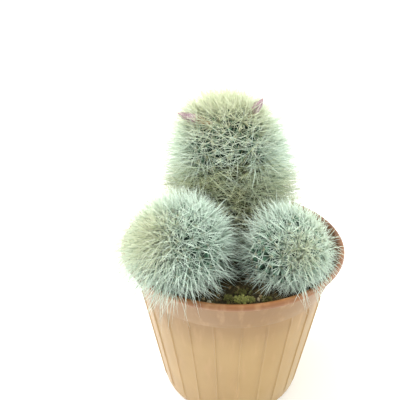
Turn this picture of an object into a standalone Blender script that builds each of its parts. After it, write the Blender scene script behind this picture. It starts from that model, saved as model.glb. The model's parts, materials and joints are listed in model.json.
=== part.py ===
"""Potted pincushion cactus: a clump of three spiny stems in a ribbed plastic pot.

Metres, +Z up. The origin is the centre of the pot's base, on the surface that it stands on,
and -Y is the front of the clump, where its two small heads are.
"""
import bisect
import math
import random

import bmesh
import bpy
from mathutils import Matrix, Vector, noise

TAU = math.tau
MM = 0.001
GOLDEN_ANGLE = math.pi * (3 - math.sqrt(5))
SEED = 7

# Gap between pieces that touch or stand in one another
GAP = 0.3 * MM

# Pot
RIM_RADIUS = 44.0 * MM
POT_HEIGHT = 65.5 * MM
LIP_HEIGHT = 2.4 * MM
LIP_WIDTH = 2.4 * MM
COLLAR_TOP_RADIUS = 42.4 * MM
COLLAR_FOOT_RADIUS = 38.2 * MM
COLLAR_HEIGHT = 11.0 * MM
COLLAR_STEP = 0.5 * MM
COLLAR_FOOT = POT_HEIGHT - LIP_HEIGHT - COLLAR_HEIGHT
BODY_TOP_RADIUS = COLLAR_FOOT_RADIUS - COLLAR_STEP
FOOT_RADIUS = 28.6 * MM
FOOT_ROUNDING = 1.8 * MM
WALL = 1.2 * MM
RIB_COUNT = 24
RIB_PHASE = math.radians(6)
RIB_HEIGHT = 0.45 * MM
RIB_HALF_ANGLE = math.radians(1.2)
RIB_FADE = 3.0 * MM
STEPS_PER_RIB = 4
DRAIN_COUNT = 6
DRAIN_RADIUS = 2.8 * MM
DRAIN_CIRCLE = 17.0 * MM
DRAIN_SIDES = 10

# Soil
SOIL_LEVEL = POT_HEIGHT - 3.0 * MM
SOIL_GAP = 0.45 * MM
SOIL_RELIEF = 0.8 * MM
SOIL_GRAIN = 6.0 * MM
SOIL_RISE = 1.6 * MM
SOIL_RISE_PLACE = Vector((3.0, -33.0)) * MM
SOIL_RISE_WIDTH = 12.0 * MM
HOLLOW_GAP = 0.9 * MM
HOLLOW_SIDES = 20
HOLLOW_STRIDE = 6
SOIL_RINGS = 5
SOIL_STEPS = 28

# Stems: the tubercles' tips lie on a surface of revolution, and the valleys between them are sunk in it
VALLEY_DEPTH = 1.3 * MM
CREASE_DEPTH = 0.9 * MM
OUTLINE_SAMPLES = 48
STUB_SIDES = 12
STUB_RISE = 3.0 * MM
STUB_TAPER = 0.8
STUB_GAP = 0.5 * MM

# Spines
SPINE_RADIUS = 0.3 * MM
SPINE_SIDES = 3
SPINE_ROOT = 2.4 * MM
SPINE_SPREAD = 1.2 * MM
SPINE_CLEARANCE = SPINE_RADIUS + GAP
SPINES_PER_TUBERCLE = 4
CENTRAL_LEAN = math.radians(10)
RADIAL_LEAN = math.radians(37.5), math.radians(55)
RADIAL_REACH = 0.85
TURN_JITTER = 0.2
LENGTH_JITTER = 0.88, 1.06
LOW_SPINE_GAIN = 0.45
BEND_STEP = 0.12
BEND_TRIES = 40
SPINE_PROBES = 9
LEAST_RISE = 0.25

# Flowers: closed and wilted, their petals folded to a point
FLOWER_RADIUS = 1.9 * MM
FLOWER_SIDES = 8
FLOWER_CORE = [(0.35, 0.86), (0.66, 0.55), (0.5, 0.2)]
SOCKET_RADIUS = 1.3 * MM
SOCKET_DEPTH = 1.6 * MM
PETAL_COUNT = 5
PETAL_THICKNESS = 0.7 * MM
PETAL_WIDTH = 1.9 * MM
PETAL_SHARE = 0.62
PETAL_STAGGER = 0.1
PETAL_SPREAD = 0.72
PETAL_CURL = 2.2


def clear_scene():
    for obj in list(bpy.data.objects):
        bpy.data.objects.remove(obj, do_unlink=True)


def new_collection(name):
    collection = bpy.data.collections.new(name)
    bpy.context.scene.collection.children.link(collection)
    return collection


def principled(name, color, roughness):
    material = bpy.data.materials.new(name)
    material.use_nodes = True
    shader = material.node_tree.nodes["Principled BSDF"]
    shader.inputs["Base Color"].default_value = (*color, 1.0)
    shader.inputs["Roughness"].default_value = roughness
    shader.inputs["Metallic"].default_value = 0.0
    return material


def add_object(name, mesh, collection, material=None):
    obj = bpy.data.objects.new(name, mesh)
    collection.objects.link(obj)
    if material:
        mesh.materials.append(material)
    return obj


def mesh_from_bmesh(name, bm):
    bmesh.ops.recalc_face_normals(bm, faces=bm.faces)
    mesh = bpy.data.meshes.new(name)
    bm.to_mesh(mesh)
    bm.free()
    return mesh


def apply_modifiers(obj):
    """Replace an object's mesh by what its modifiers make of it."""
    graph = bpy.context.evaluated_depsgraph_get()
    old = obj.data
    mesh = bpy.data.meshes.new_from_object(obj.evaluated_get(graph))
    obj.modifiers.clear()
    obj.data = mesh
    bpy.data.meshes.remove(old)


def boolean(obj, operation, operands, solver="EXACT"):
    """Cut or join an object with every object of a collection, which is then emptied."""
    modifier = obj.modifiers.new(operation, "BOOLEAN")
    modifier.operation = operation
    modifier.operand_type = "COLLECTION"
    modifier.collection = operands
    modifier.solver = solver
    apply_modifiers(obj)
    for operand in list(operands.objects):
        bpy.data.objects.remove(operand, do_unlink=True)
    bpy.data.collections.remove(operands)


def turned(name, profile, steps, collection, material=None):
    """A profile of (radius, height) points, turned about Z. It runs down its outer side."""
    mesh = bpy.data.meshes.new(name)
    edges = [(i, i + 1) for i in range(len(profile) - 1)]
    mesh.from_pydata([(radius, 0, height) for radius, height in profile], edges, [])
    obj = add_object(name, mesh, collection, material)
    screw = obj.modifiers.new("Turn", "SCREW")
    screw.steps = steps
    screw.render_steps = steps
    screw.use_merge_vertices = True
    screw.merge_threshold = 1e-6
    apply_modifiers(obj)
    return obj


def arc(center, radius, start, end, count):
    """Points of (radius, height) on an arc, from one angle to another, in degrees."""
    angles = [math.radians(start + (end - start) * i / count) for i in range(count + 1)]
    return [(center[0] + radius * math.cos(a), center[1] + radius * math.sin(a)) for a in angles]


def smooth_outline(points, samples):
    """A Catmull-Rom curve through a few (radius, height) points."""
    ends = [points[0], *points, points[-1]]
    outline = []
    for i in range(samples + 1):
        place = min(i / samples * (len(points) - 1), len(points) - 1 - 1e-9)
        k = int(place)
        t = place - k
        a, b, c, d = (Vector(p) for p in ends[k:k + 4])
        curve = 2 * b + (c - a) * t + (2 * a - 5 * b + 4 * c - d) * t ** 2 + (3 * b - a - 3 * c + d) * t ** 3
        outline.append((max(curve.x / 2, 0.0), curve.y / 2))
    return outline


def round_outline(radius, half_height, samples):
    angles = [math.pi * i / samples for i in range(samples + 1)]
    return [(radius * math.sin(a), half_height * math.cos(a)) for a in angles]


class Stem:
    """One stem of the clump: an outline turned about a leaning axis, and a stub below it in the soil."""

    def __init__(self, name, outline, center, lean, tubercles, spine_length, foot, stub_radius):
        self.name = name
        self.outline = outline
        self.matrix = Matrix.Translation(center) @ Vector((0, 0, 1)).rotation_difference(
            Vector(lean)).to_matrix().to_4x4()
        self.center = Vector(center)
        self.tubercles = tubercles
        self.spine_length = spine_length
        self.foot = Vector(foot)
        self.stub_radius = stub_radius
        shares = [0.0]
        for (r0, z0), (r1, z1) in zip(outline, outline[1:]):
            shares.append(shares[-1] + (r0 + r1) * math.hypot(r1 - r0, z1 - z0))
        self.shares = [share / shares[-1] for share in shares]

    def surface(self, share, azimuth):
        """Point and outward normal, in the stem's own frame, by the share of the area above the point."""
        k = min(max(bisect.bisect(self.shares, share), 1), len(self.shares) - 1)
        t = (share - self.shares[k - 1]) / (self.shares[k] - self.shares[k - 1])
        (r0, z0), (r1, z1) = self.outline[k - 1:k + 1]
        radius = r0 + (r1 - r0) * t
        height = z0 + (z1 - z0) * t
        around = Vector((math.cos(azimuth), math.sin(azimuth), 0))
        normal = (around * (z0 - z1) + Vector((0, 0, 1)) * (r1 - r0)).normalized()
        return around * radius + Vector((0, 0, height)), normal

    def tips(self):
        """Where each tubercle is: share of the area and azimuth, in a golden-angle spiral."""
        return [((i + 0.5) / self.tubercles, i * GOLDEN_ANGLE) for i in range(self.tubercles)]


# Heights above the soil, and radii, down the tall stem: woolly top, waist, wide old part, foot
TALL_OUTLINE = smooth_outline([
    (0.0, 55.0 * MM), (9.5 * MM, 52.0 * MM), (14.4 * MM, 43.0 * MM), (15.7 * MM, 35.5 * MM),
    (15.4 * MM, 29.5 * MM), (17.8 * MM, 22.0 * MM), (17.6 * MM, 15.0 * MM), (15.6 * MM, 7.0 * MM),
    (11.5 * MM, -0.5 * MM), (0.0, -2.5 * MM)], OUTLINE_SAMPLES)

STEMS = [
    Stem("tall_stem", TALL_OUTLINE, center=(-2.0 * MM, 11.0 * MM, SOIL_LEVEL), lean=(0, 0, 1),
         tubercles=108, spine_length=7.2 * MM, foot=(-2.0 * MM, 11.0 * MM, SOIL_LEVEL - 10 * MM),
         stub_radius=10.0 * MM),
    Stem("left_head", round_outline(15.6 * MM, 15.0 * MM, OUTLINE_SAMPLES),
         center=(-18.6 * MM, -21.3 * MM, SOIL_LEVEL + 12.5 * MM), lean=(-0.45, -0.1, 1),
         tubercles=80, spine_length=8.0 * MM, foot=(-15.5 * MM, -17.0 * MM, SOIL_LEVEL - 10 * MM),
         stub_radius=6.5 * MM),
    Stem("right_head", round_outline(13.6 * MM, 13.2 * MM, OUTLINE_SAMPLES),
         center=(20.5 * MM, -18.0 * MM, SOIL_LEVEL + 9.5 * MM), lean=(0.25, -0.5, 1),
         tubercles=64, spine_length=7.2 * MM, foot=(17.0 * MM, -14.5 * MM, SOIL_LEVEL - 10 * MM),
         stub_radius=6.0 * MM),
]
TALL = STEMS[0]

# Flowers: where each is rooted in the tall stem, and where its tip is
FLOWERS = {
    "flower_left": (Vector((-9.0, 4.5, 112.5)) * MM, Vector((-19.5, 5.0, 116.0)) * MM),
    "flower_right": (Vector((5.5, 7.5, 113.5)) * MM, Vector((10.5, 5.5, 122.0)) * MM),
}


def soil_height(x, y):
    """The soil's surface: a little higher at the front, and uneven."""
    away = (Vector((x, y)) - SOIL_RISE_PLACE).length
    rise = math.exp(-(away / SOIL_RISE_WIDTH) ** 2)
    return SOIL_LEVEL + SOIL_RISE * rise + SOIL_RELIEF * noise.noise(Vector((x, y, 0)) / SOIL_GRAIN)


def floor_height(x, y):
    """The highest thing below a spine at this place: soil, rim, or nothing outside the pot."""
    radius = math.hypot(x, y)
    if radius > RIM_RADIUS + SPINE_CLEARANCE:
        return 0.0
    if radius > RIM_RADIUS - LIP_WIDTH - SPINE_CLEARANCE:
        return POT_HEIGHT
    return soil_height(x, y) + SOIL_RELIEF / 2


def body_radius(height):
    """The radius of the pot's outer wall between its foot and its collar."""
    share = (height - FOOT_ROUNDING) / (COLLAR_FOOT - FOOT_ROUNDING)
    return FOOT_RADIUS + (BODY_TOP_RADIUS - FOOT_RADIUS) * share


def inner_radius(height):
    """The radius of the pot's inner wall at a height."""
    if height < COLLAR_FOOT:
        return body_radius(height) - WALL
    share = (height - COLLAR_FOOT) / COLLAR_HEIGHT
    return BODY_TOP_RADIUS - WALL + (COLLAR_TOP_RADIUS - BODY_TOP_RADIUS) * share


def pot_profile():
    """The pot's section from its inner floor, up and over the lip, and down the outer side."""
    lip = LIP_HEIGHT / 2
    inner_corner = WALL + FOOT_ROUNDING
    rib_top = COLLAR_FOOT - RIB_FADE
    return [
        (0.0, WALL),
        (inner_radius(inner_corner) - FOOT_ROUNDING, WALL),
        (inner_radius(inner_corner), inner_corner),
        (inner_radius(COLLAR_FOOT), COLLAR_FOOT),
        (inner_radius(POT_HEIGHT - LIP_HEIGHT), POT_HEIGHT - LIP_HEIGHT),
        (RIM_RADIUS - LIP_WIDTH, POT_HEIGHT - lip),
        *arc((RIM_RADIUS - LIP_WIDTH + lip, POT_HEIGHT - lip), lip, 150, 90, 1),
        *arc((RIM_RADIUS - lip, POT_HEIGHT - lip), lip, 90, -90, 4),
        (COLLAR_TOP_RADIUS, POT_HEIGHT - LIP_HEIGHT),
        (COLLAR_FOOT_RADIUS, COLLAR_FOOT),
        (BODY_TOP_RADIUS, COLLAR_FOOT - COLLAR_STEP),
        (body_radius(rib_top), rib_top),
        *arc((FOOT_RADIUS - FOOT_ROUNDING, FOOT_ROUNDING), FOOT_ROUNDING, 0, -90, 2),
        (0.0, 0.0),
    ]


def rib_angle(angle):
    """Where an evenly spaced angle goes, so that the two next to a rib's crest lie at the rib's foot."""
    step = TAU / (RIB_COUNT * STEPS_PER_RIB)
    index = round(angle / step)
    crest = round(index / STEPS_PER_RIB) * STEPS_PER_RIB
    offset = index - crest
    if abs(offset) == 1:
        return RIB_PHASE + crest * step + offset * RIB_HALF_ANGLE, False
    return RIB_PHASE + index * step, offset == 0


def build_pot(collection):
    material = principled("terracotta plastic", (0.58, 0.27, 0.14), 0.42)
    pot = turned("pot", pot_profile(), RIB_COUNT * STEPS_PER_RIB, collection, material)
    for vertex in pot.data.vertices:
        radius = vertex.co.xy.length
        if radius < DRAIN_CIRCLE:
            continue
        angle, on_crest = rib_angle(math.atan2(vertex.co.y, vertex.co.x))
        on_wall = FOOT_ROUNDING - GAP < vertex.co.z < COLLAR_FOOT - RIB_FADE + GAP
        if on_crest and on_wall and radius > body_radius(vertex.co.z) - WALL / 2:
            radius += RIB_HEIGHT
        vertex.co.xy = (radius * math.cos(angle), radius * math.sin(angle))

    drains = new_collection("drains")
    for k in range(DRAIN_COUNT):
        bm = bmesh.new()
        bmesh.ops.create_cone(bm, cap_ends=True, segments=DRAIN_SIDES, radius1=DRAIN_RADIUS, radius2=DRAIN_RADIUS,
                              depth=6 * WALL)
        angle = TAU * (k + 0.5) / DRAIN_COUNT
        bmesh.ops.translate(bm, verts=bm.verts,
                            vec=(DRAIN_CIRCLE * math.cos(angle), DRAIN_CIRCLE * math.sin(angle), 0))
        add_object(f"drain_{k}", mesh_from_bmesh("drain", bm), drains)
    boolean(pot, "DIFFERENCE", drains)
    pot.data.shade_smooth()
    pot.data.set_sharp_from_angle(angle=math.radians(30))
    return pot


def build_soil(collection):
    """The filling of the pot, with an uneven top and a plain hole for each stem."""
    material = principled("potting soil", (0.10, 0.065, 0.04), 0.95)
    top = SOIL_LEVEL - SOIL_RELIEF
    inner_corner = WALL + FOOT_ROUNDING
    edge = inner_radius(top) - SOIL_GAP
    rings = [(edge * (k + 1) / SOIL_RINGS, SOIL_LEVEL) for k in range(SOIL_RINGS)]
    profile = [
        (0.0, SOIL_LEVEL),
        *rings,
        (edge, top),
        (inner_radius(COLLAR_FOOT) - SOIL_GAP, COLLAR_FOOT),
        (inner_radius(inner_corner) - SOIL_GAP, inner_corner),
        (inner_radius(inner_corner) - FOOT_ROUNDING - SOIL_GAP, WALL + GAP),
        (0.0, WALL + GAP),
    ]
    soil = turned("soil", profile, SOIL_STEPS, collection, material)
    for vertex in soil.data.vertices:
        if vertex.co.z > SOIL_LEVEL - GAP:
            vertex.co.z = soil_height(vertex.co.x, vertex.co.y)

    holes = new_collection("holes")
    for stem in STEMS:
        stub(stem, "hole", STUB_GAP, GAP, holes)
        hollow = turned("hollow", stem.outline[::HOLLOW_STRIDE], HOLLOW_SIDES, holes)
        grow = Vector((1, 1, 1)) * (1 + HOLLOW_GAP / max(stem.outline)[0])
        hollow.data.transform(stem.matrix @ Matrix.Diagonal(grow).to_4x4())
    boolean(soil, "DIFFERENCE", holes)
    return soil


def stub(stem, name, side_gap, end_gap, collection):
    """The foot of a stem in the soil: a leaning taper from inside the stem down to its foot."""
    bm = bmesh.new()
    top = Vector((stem.center.x, stem.center.y, SOIL_LEVEL + STUB_RISE))
    axis = top - stem.foot
    length = axis.length + end_gap
    bmesh.ops.create_cone(bm, cap_ends=True, segments=STUB_SIDES, radius1=stem.stub_radius * STUB_TAPER + side_gap,
                          radius2=stem.stub_radius + side_gap, depth=length)
    bmesh.ops.translate(bm, verts=bm.verts, vec=(0, 0, length / 2 - end_gap))
    turn = Vector((0, 0, 1)).rotation_difference(axis).to_matrix().to_4x4()
    bmesh.ops.transform(bm, verts=bm.verts, matrix=Matrix.Translation(stem.foot) @ turn)
    return add_object(name, mesh_from_bmesh(name, bm), collection)


def tubercle_body(stem, collection, material):
    """The stem's green body: a hull over the tubercles' tips, with each face and edge sunk between them."""
    bm = bmesh.new()
    for share, azimuth in stem.tips():
        height = 1 - 2 * share
        radius = math.sqrt(1 - height ** 2)
        bm.verts.new((radius * math.cos(azimuth), radius * math.sin(azimuth), height))
    bmesh.ops.convex_hull(bm, input=bm.verts)
    tips = set(bm.verts)
    creases = bmesh.ops.bisect_edges(bm, edges=bm.edges, cuts=1)["geom_split"]
    creases = {item for item in creases if isinstance(item, bmesh.types.BMVert)}
    bmesh.ops.poke(bm, faces=bm.faces)
    for vertex in bm.verts:
        direction = vertex.co.normalized()
        point, normal = stem.surface((1 - direction.z) / 2, math.atan2(direction.y, direction.x))
        depth = 0.0 if vertex in tips else CREASE_DEPTH if vertex in creases else VALLEY_DEPTH
        vertex.co = stem.matrix @ (point - normal * depth)
    return add_object(stem.name, mesh_from_bmesh(stem.name, bm), collection, material)


def spine_points(root, direction, length):
    return [root + direction * length * (k + 1) / SPINE_PROBES for k in range(SPINE_PROBES)]


def neighbour_plane(stem, other):
    """The upright plane halfway between two stems: a point on it and its normal, towards the first."""
    apart = stem.center - other.center
    apart.z = 0
    gap = apart.length - max(stem.outline)[0] - max(other.outline)[0]
    normal = apart.normalized()
    return other.center + normal * (max(other.outline)[0] + gap / 2), normal


def push_on(stem, point):
    """Which way a point of a spine has to go to be clear of the soil, rim, other stems and flowers."""
    push = Vector((0, 0, 0))
    if point.z < floor_height(point.x, point.y) + SPINE_CLEARANCE:
        push += Vector((0, 0, 1))
    for other in STEMS:
        if other is stem:
            continue
        place, normal = neighbour_plane(stem, other)
        if (point - place).dot(normal) < SPINE_CLEARANCE:
            push += normal
    if stem is TALL:
        for root, tip in FLOWERS.values():
            along = (tip - root).normalized()
            share = min(max((point - root).dot(along), 0.0), (tip - root).length)
            away = point - root - along * share
            if away.length < FLOWER_RADIUS + PETAL_THICKNESS + SPINE_CLEARANCE:
                push += away.normalized()
    return push


def clear_direction(stem, root, direction, length):
    """Bend a spine away from what it would cross. None where it can't be made clear."""
    for _ in range(BEND_TRIES):
        pushes = [push_on(stem, point) for point in spine_points(root, direction, length)]
        total = sum(pushes, Vector((0, 0, 0)))
        if all(push.length == 0 for push in pushes):
            return direction
        if total.length == 0:
            return None
        direction = (direction + total.normalized() * BEND_STEP).normalized()
    return None


def spine_directions(normal, upward, turn, draw):
    """The spines of one tubercle, set round its tip: one near the normal, and the rest leaning out."""
    side = normal.cross(upward)
    for k in range(SPINES_PER_TUBERCLE):
        around = turn + TAU * k / SPINES_PER_TUBERCLE + draw.uniform(-TURN_JITTER, TURN_JITTER)
        out = upward * math.cos(around) + side * math.sin(around)
        lean = CENTRAL_LEAN if k == 0 else draw.uniform(*RADIAL_LEAN)
        reach = 1.0 if k == 0 else RADIAL_REACH
        yield normal * math.cos(lean) + out * math.sin(lean), out, reach


def grow_spines(stem, body):
    """Fuse the spines into the body, each with its root sunk beside a tubercle's tip."""
    draw = random.Random(SEED)
    spines = new_collection("spines")
    turn_stem = stem.matrix.to_3x3()
    for index, (share, azimuth) in enumerate(stem.tips()):
        point, normal = stem.surface(share, azimuth)
        upward = (Vector((0, 0, 1)) - normal * normal.z).normalized()
        outward = turn_stem @ normal
        for direction, out, reach in spine_directions(normal, upward, index * GOLDEN_ANGLE, draw):
            length = stem.spine_length * reach * (1 + LOW_SPINE_GAIN * share) * draw.uniform(*LENGTH_JITTER)
            root = stem.matrix @ (point + out * SPINE_SPREAD)
            if push_on(stem, root).length > 0:
                continue
            direction = clear_direction(stem, root, (turn_stem @ direction).normalized(), length)
            if direction and direction.dot(outward) > LEAST_RISE:
                add_spine(root, direction, outward, length, spines)
    boolean(body, "UNION", spines, solver="MANIFOLD")


def add_spine(root, direction, outward, length, collection):
    """A needle from a point on the body, its root sunk against the body's outward direction."""
    bm = bmesh.new()
    start = root - outward * SPINE_ROOT
    tip = root + direction * length
    depth = (tip - start).length
    bmesh.ops.create_cone(bm, cap_ends=True, segments=SPINE_SIDES, radius1=SPINE_RADIUS, radius2=0, depth=depth)
    bmesh.ops.remove_doubles(bm, verts=bm.verts, dist=1e-7)
    bmesh.ops.translate(bm, verts=bm.verts, vec=(0, 0, depth / 2))
    turn = Vector((0, 0, 1)).rotation_difference(tip - start).to_matrix().to_4x4()
    bmesh.ops.transform(bm, verts=bm.verts, matrix=Matrix.Translation(start) @ turn)
    add_object("spine", mesh_from_bmesh("spine", bm), collection)


def flower_frame(root, tip):
    return Matrix.Translation(root) @ Vector((0, 0, 1)).rotation_difference(tip - root).to_matrix().to_4x4()


def build_flower(name, root, tip, collection):
    """A closed flower: a slim tube that widens, a pointed core, and petals folded against it."""
    material = principled(name + " petals", (0.62, 0.30, 0.42), 0.6)
    length = (tip - root).length
    start = -SOCKET_DEPTH + GAP
    core = [
        (0.0, length), *[(radius * FLOWER_RADIUS, share * length) for radius, share in FLOWER_CORE],
        (SOCKET_RADIUS - GAP, start), (0.0, start)]
    flower = turned(name, core, FLOWER_SIDES, collection, material)
    petals = new_collection("petals")
    for k in range(PETAL_COUNT):
        bm = bmesh.new()
        bmesh.ops.create_uvsphere(bm, u_segments=6, v_segments=4, radius=0.5)
        petal_length = length * (PETAL_SHARE + PETAL_STAGGER * (k % 2))
        bmesh.ops.scale(bm, verts=bm.verts, vec=(PETAL_THICKNESS, PETAL_WIDTH, petal_length))
        for vertex in bm.verts:
            along = vertex.co.z / petal_length
            vertex.co.x += FLOWER_RADIUS * (PETAL_SPREAD - PETAL_CURL * along ** 2)
            vertex.co.z += length - petal_length * (1 + PETAL_STAGGER) / 2
        bmesh.ops.rotate(bm, verts=bm.verts, matrix=Matrix.Rotation(TAU * k / PETAL_COUNT, 3, "Z"))
        add_object("petal", mesh_from_bmesh("petal", bm), petals)
    boolean(flower, "UNION", petals, solver="MANIFOLD")
    flower.data.transform(flower_frame(root, tip))
    return flower


def cut_sockets(body):
    """A plain socket in the tall stem for the foot of each flower."""
    sockets = new_collection("sockets")
    for root, tip in FLOWERS.values():
        bm = bmesh.new()
        bmesh.ops.create_cone(bm, cap_ends=True, segments=FLOWER_SIDES, radius1=SOCKET_RADIUS,
                              radius2=SOCKET_RADIUS, depth=2 * SOCKET_DEPTH)
        bmesh.ops.transform(bm, verts=bm.verts, matrix=flower_frame(root, tip))
        add_object("socket", mesh_from_bmesh("socket", bm), sockets)
    boolean(body, "DIFFERENCE", sockets, solver="MANIFOLD")


def build_stem(stem, collection):
    material = principled(stem.name + " skin and spines", (0.56, 0.62, 0.47), 0.7)
    body = tubercle_body(stem, collection, material)
    foot = new_collection("foot")
    stub(stem, "stub", 0.0, 0.0, foot)
    boolean(body, "UNION", foot, solver="MANIFOLD")
    if stem is TALL:
        cut_sockets(body)
    grow_spines(stem, body)
    return body


def main():
    clear_scene()
    cactus = new_collection("potted pincushion cactus")
    build_pot(cactus)
    build_soil(cactus)
    for stem in STEMS:
        build_stem(stem, cactus)
    for name, (root, tip) in FLOWERS.items():
        build_flower(name, root, tip, cactus)


main()
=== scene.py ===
"""Looks of the potted pincushion cactus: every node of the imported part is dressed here, in the part's own frame.

Metres, +Z up. The origin is the centre of the pot's base, and -Y is the front of the clump.
"""
import json
import math

import bmesh
import bpy
import numpy as np
from mathutils import Matrix, Vector, noise

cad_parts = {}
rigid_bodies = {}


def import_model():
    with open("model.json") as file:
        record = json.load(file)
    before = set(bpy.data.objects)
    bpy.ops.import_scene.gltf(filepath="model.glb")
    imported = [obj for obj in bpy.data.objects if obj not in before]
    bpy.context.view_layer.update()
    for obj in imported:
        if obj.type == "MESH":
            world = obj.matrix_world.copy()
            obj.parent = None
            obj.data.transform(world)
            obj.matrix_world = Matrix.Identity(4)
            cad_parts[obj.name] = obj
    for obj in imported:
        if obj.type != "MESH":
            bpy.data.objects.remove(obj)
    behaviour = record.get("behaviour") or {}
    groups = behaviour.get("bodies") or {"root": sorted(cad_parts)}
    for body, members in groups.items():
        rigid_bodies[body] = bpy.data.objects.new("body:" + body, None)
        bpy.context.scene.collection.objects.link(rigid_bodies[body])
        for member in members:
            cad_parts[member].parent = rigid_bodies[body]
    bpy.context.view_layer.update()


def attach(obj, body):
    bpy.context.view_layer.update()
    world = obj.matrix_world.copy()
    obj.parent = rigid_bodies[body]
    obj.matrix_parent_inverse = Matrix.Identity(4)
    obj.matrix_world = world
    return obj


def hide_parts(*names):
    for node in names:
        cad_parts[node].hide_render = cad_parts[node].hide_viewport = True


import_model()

TAU = math.tau
MM = 0.001
GOLDEN_ANGLE = math.pi * (3 - math.sqrt(5))
UP = np.array((0.0, 0.0, 1.0))

# Camera: fitted to the rim and wall of the pot in the photograph, which is 400 px wide
FOCAL_PIXELS = 600.0
PICTURE_PIXELS = 400.0
SENSOR = 36.0
CAMERA_PLACE = Vector((0.0, -0.20615, 0.18839))
CAMERA_PITCH = math.radians(27.034)
CAMERA_YAW = math.radians(-3.493)
CAMERA_ROLL = math.radians(0.7)

# Pot, as in the solids
RIM_RADIUS = 44.0 * MM
POT_HEIGHT = 65.5 * MM
LIP_HEIGHT = 2.4 * MM
LIP_WIDTH = 2.4 * MM
COLLAR_TOP_RADIUS = 42.4 * MM
COLLAR_FOOT_RADIUS = 38.2 * MM
COLLAR_HEIGHT = 11.0 * MM
COLLAR_STEP = 0.5 * MM
COLLAR_FOOT = POT_HEIGHT - LIP_HEIGHT - COLLAR_HEIGHT
BODY_TOP_RADIUS = COLLAR_FOOT_RADIUS - COLLAR_STEP
FOOT_RADIUS = 28.6 * MM
FOOT_ROUNDING = 1.8 * MM
WALL = 1.2 * MM
RIB_COUNT = 24
RIB_PHASE = math.radians(6)
RIB_HEIGHT = 0.45 * MM
RIB_WIDTH = 1.05 * MM
RIB_FADE = 3.0 * MM
STEPS_PER_RIB = 14
RIB_CROWDING = 0.75
DRAIN_COUNT = 6
DRAIN_RADIUS = 2.8 * MM
DRAIN_CIRCLE = 17.0 * MM
EDGE_ROUNDING = 0.25 * MM

# Soil
SOIL_LEVEL = POT_HEIGHT - 3.0 * MM
SOIL_GAP = 0.45 * MM
SOIL_RELIEF = 0.8 * MM
SOIL_GRAIN = 6.0 * MM
SOIL_RISE = 1.6 * MM
SOIL_RISE_PLACE = Vector((3.0, -33.0)) * MM
SOIL_RISE_WIDTH = 12.0 * MM
SOIL_RINGS = 56
SOIL_STEPS = 168
CRUMB_RELIEF = 0.9 * MM
CRUMB_SIZE = 1.6 * MM
GRIT_PER_AREA = 260000
GRIT_LEAST = 0.25 * MM
GRIT_MOST = 1.0 * MM

# Stems
OUTLINE_SAMPLES = 96
BODY_STEPS = 150
BODY_RINGS = 120
TUBERCLE_HEIGHT = 2.0 * MM
TUBERCLE_RADIUS = 2.3 * MM

# Spines
SPINE_CLEARANCE = 0.25 * MM
CLEAR_TRIES = 24
CLEAR_STEP = 0.16
CLEAR_CUT = 0.88
LEAST_REACH = 2.0 * MM
PROBES = np.array((0.25, 0.4, 0.55, 0.7, 0.85, 1.0))
RIM_SILL = LIP_WIDTH + 0.5 * MM


def tone(red, green, blue):
    """A colour as it looks on screen, 0 to 255, as the linear values that shaders take."""
    screen = (red / 255, green / 255, blue / 255)
    linear = (v / 12.92 if v <= 0.04045 else ((v + 0.055) / 1.055) ** 2.4 for v in screen)
    return (*linear, 1.0)


class Wire:
    """A socket that is worked on as a value: + - * / and ** add the Math or Vector Math nodes."""

    def __init__(self, graph, socket):
        self.graph = graph
        self.socket = socket

    def other(self, name):
        """Another output of the same node."""
        return Wire(self.graph, self.socket.node.outputs[name])

    def is_vector(self):
        return self.socket.type in ("VECTOR", "RGBA")

    def combine(self, operation, first, second):
        vectors = [isinstance(v, Wire) and v.is_vector() or isinstance(v, tuple) for v in (first, second)]
        if not any(vectors):
            return self.graph.node("ShaderNodeMath", {"operation": operation}, {0: first, 1: second})
        if operation == "MULTIPLY" and not all(vectors):
            vector, scale = (first, second) if vectors[0] else (second, first)
            return self.graph.node("ShaderNodeVectorMath", {"operation": "SCALE"}, {0: vector, "Scale": scale})
        return self.graph.node("ShaderNodeVectorMath", {"operation": operation}, {0: first, 1: second})

    def __add__(self, value):
        return self.combine("ADD", self, value)

    def __radd__(self, value):
        return self.combine("ADD", value, self)

    def __sub__(self, value):
        return self.combine("SUBTRACT", self, value)

    def __rsub__(self, value):
        return self.combine("SUBTRACT", value, self)

    def __mul__(self, value):
        return self.combine("MULTIPLY", self, value)

    def __rmul__(self, value):
        return self.combine("MULTIPLY", value, self)

    def __truediv__(self, value):
        return self.combine("DIVIDE", self, value)

    def __pow__(self, value):
        return self.combine("POWER", self, value)

    def math(self, operation, *values):
        """A Math node with one or more further values."""
        return self.graph.node("ShaderNodeMath", {"operation": operation}, dict(enumerate((self, *values))))

    def between(self, low, high, start=0.0, end=1.0, smooth=True):
        """The value's way from low to high, as a number from start to end."""
        kind = "SMOOTHSTEP" if smooth else "LINEAR"
        return self.graph.node("ShaderNodeMapRange", {"interpolation_type": kind},
                               {"Value": self, "From Min": low, "From Max": high, "To Min": start, "To Max": end})


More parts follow.
